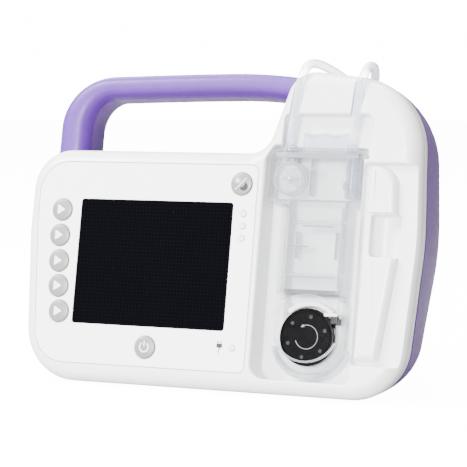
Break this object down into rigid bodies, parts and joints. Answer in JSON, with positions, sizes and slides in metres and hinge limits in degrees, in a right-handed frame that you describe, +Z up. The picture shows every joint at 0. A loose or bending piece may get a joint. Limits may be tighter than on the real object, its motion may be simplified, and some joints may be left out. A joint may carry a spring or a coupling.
{
  "type": "enteral feeding pump",
  "caption": "Portable enteral feeding pump with a screen, soft keys, a carrying handle, a clear pumping cassette on a rotor, and soft tubes over its top.",
  "frame": {"origin": "middle of the box that the pump fills without its tubes, on the table", "axes": "+X to the viewer's right along the front, +Y to the back, +Z up"},
  "size_m": [0.2059, 0.1822, 0.1585],
  "materials": {
    "white_shell": "satin moulded ABS, faintly pebbled",
    "purple_shell": "fine textured ABS",
    "lavender_grip": "fine textured ABS",
    "printed_overlay": "polyester film",
    "black_window": "polished acrylic",
    "metal_module": "pressed",
    "battery_cells": "shrink wrapped",
    "circuit_board": "solder mask",
    "light_lens": "moulded light pipe",
    "dark_rubber": "moulded",
    "black_plastic": "satin",
    "steel": "plain",
    "grey_keys": "satin silicone",
    "clear_plastic": "clear moulded",
    "clear_tube": "clear flexible",
    "silicone_tube": "translucent",
    "purple_fitting": "moulded"
  },
  "bodies": {
    "casing": {"battery_door": "purple_shell", "battery_door_screw": "steel", "battery_pack": "battery_cells", "bay_side_rail": "white_shell", "cassette_base": "clear_plastic", "cassette_cover": "clear_plastic", "clamp_screw_1": "steel", "clamp_screw_2": "steel", "display_window": "black_window", "faceplate_overlay": "printed_overlay", "feed_coil": "clear_tube", "feed_spike": "purple_fitting", "feed_tube": "clear_tube", "front_housing": "white_shell", "handle_front_cover": "lavender_grip", "housing_gasket": "dark_rubber", "housing_screw_1": "steel", "housing_screw_2": "steel", "housing_screw_3": "steel", "housing_screw_4": "steel", "indicator_board": "circuit_board", "keypad_board": "circuit_board", "lcd_module": "metal_module", "main_board": "circuit_board", "mains_light_lens": "light_lens", "mechanism_bracket": "steel", "patient_coil": "clear_tube", "patient_connector": "purple_fitting", "patient_tube": "clear_tube", "pole_clamp_plate": "purple_shell", "power_inlet": "black_plastic", "pump_gearbox": "steel", "pump_motor": "steel", "pump_tube": "silicone_tube", "raceway_collar": "white_shell", "rear_housing": "purple_shell", "rotor_bearing": "steel", "rubber_foot_1": "dark_rubber", "rubber_foot_2": "dark_rubber", "rubber_foot_3": "dark_rubber", "rubber_foot_4": "dark_rubber", "speaker": "steel", "status_light_lens": "light_lens", "valve_motor": "steel"},
    "soft_key_1": {"soft_key_1": "grey_keys"},
    "soft_key_2": {"soft_key_2": "grey_keys"},
    "soft_key_3": {"soft_key_3": "grey_keys"},
    "soft_key_4": {"soft_key_4": "grey_keys"},
    "soft_key_5": {"soft_key_5": "grey_keys"},
    "power_key": {"power_key": "grey_keys"},
    "backlight_key": {"backlight_key": "grey_keys"},
    "rotor": {"rotor_hub": "black_plastic", "rotor_front_plate": "black_plastic"},
    "roller_1": {"rotor_roller_1": "steel"},
    "roller_2": {"rotor_roller_2": "steel"},
    "roller_3": {"rotor_roller_3": "steel"},
    "valve": {"valve_plug": "clear_plastic", "valve_drive_stem": "steel"},
    "port_cover": {"service_port_cover": "dark_rubber"}
  },
  "joints": [
    {"name": "soft_key_1_press", "type": "slide", "parent": "casing", "child": "soft_key_1", "axis": [0, 0.981, -0.1942], "range_m": [0, 0.0006], "stiffness_N_per_m": 800},
    {"name": "soft_key_2_press", "type": "slide", "parent": "casing", "child": "soft_key_2", "axis": [0, 0.981, -0.1942], "range_m": [0, 0.0006], "stiffness_N_per_m": 800},
    {"name": "soft_key_3_press", "type": "slide", "parent": "casing", "child": "soft_key_3", "axis": [0, 0.981, -0.1942], "range_m": [0, 0.0006], "stiffness_N_per_m": 800},
    {"name": "soft_key_4_press", "type": "slide", "parent": "casing", "child": "soft_key_4", "axis": [0, 0.981, -0.1942], "range_m": [0, 0.0006], "stiffness_N_per_m": 800},
    {"name": "soft_key_5_press", "type": "slide", "parent": "casing", "child": "soft_key_5", "axis": [0, 0.981, -0.1942], "range_m": [0, 0.0006], "stiffness_N_per_m": 800},
    {"name": "power_key_press", "type": "slide", "parent": "casing", "child": "power_key", "axis": [0, 0.981, -0.1942], "range_m": [0, 0.0006], "stiffness_N_per_m": 800},
    {"name": "backlight_key_press", "type": "slide", "parent": "casing", "child": "backlight_key", "axis": [0, 0.981, -0.1942], "range_m": [0, 0.0006], "stiffness_N_per_m": 800},
    {"name": "rotor_spin", "type": "hinge", "parent": "casing", "child": "rotor", "pos_m": [0.05091, -0.04228, 0.02899], "axis": [0, -0.981, 0.1942], "continuous": true},
    {"name": "roller_1_spin", "type": "hinge", "parent": "rotor", "child": "roller_1", "pos_m": [0.05993, -0.04164, 0.03221], "axis": [0, -0.981, 0.1942], "continuous": true},
    {"name": "roller_2_spin", "type": "hinge", "parent": "rotor", "child": "roller_2", "pos_m": [0.04355, -0.04108, 0.03504], "axis": [0, -0.981, 0.1942], "continuous": true},
    {"name": "roller_3_spin", "type": "hinge", "parent": "rotor", "child": "roller_3", "pos_m": [0.04924, -0.04411, 0.01972], "axis": [0, -0.981, 0.1942], "continuous": true},
    {"name": "valve_turn", "type": "hinge", "parent": "casing", "child": "valve", "pos_m": [0.03751, -0.03081, 0.10236], "axis": [0, -0.981, 0.1942], "range_deg": [0, 90]},
    {"name": "port_cover_swing", "type": "hinge", "parent": "casing", "child": "port_cover", "pos_m": [0.00721, 0.03071, 0.01505], "axis": [-1, 0, 0], "range_deg": [0, 120]}
  ],
  "couplings": [
    {"joint": "roller_1_spin", "follows": "rotor_spin", "ratio": -4.6923},
    {"joint": "roller_2_spin", "follows": "rotor_spin", "ratio": -4.6923},
    {"joint": "roller_3_spin", "follows": "rotor_spin", "ratio": -4.6923}
  ]
}
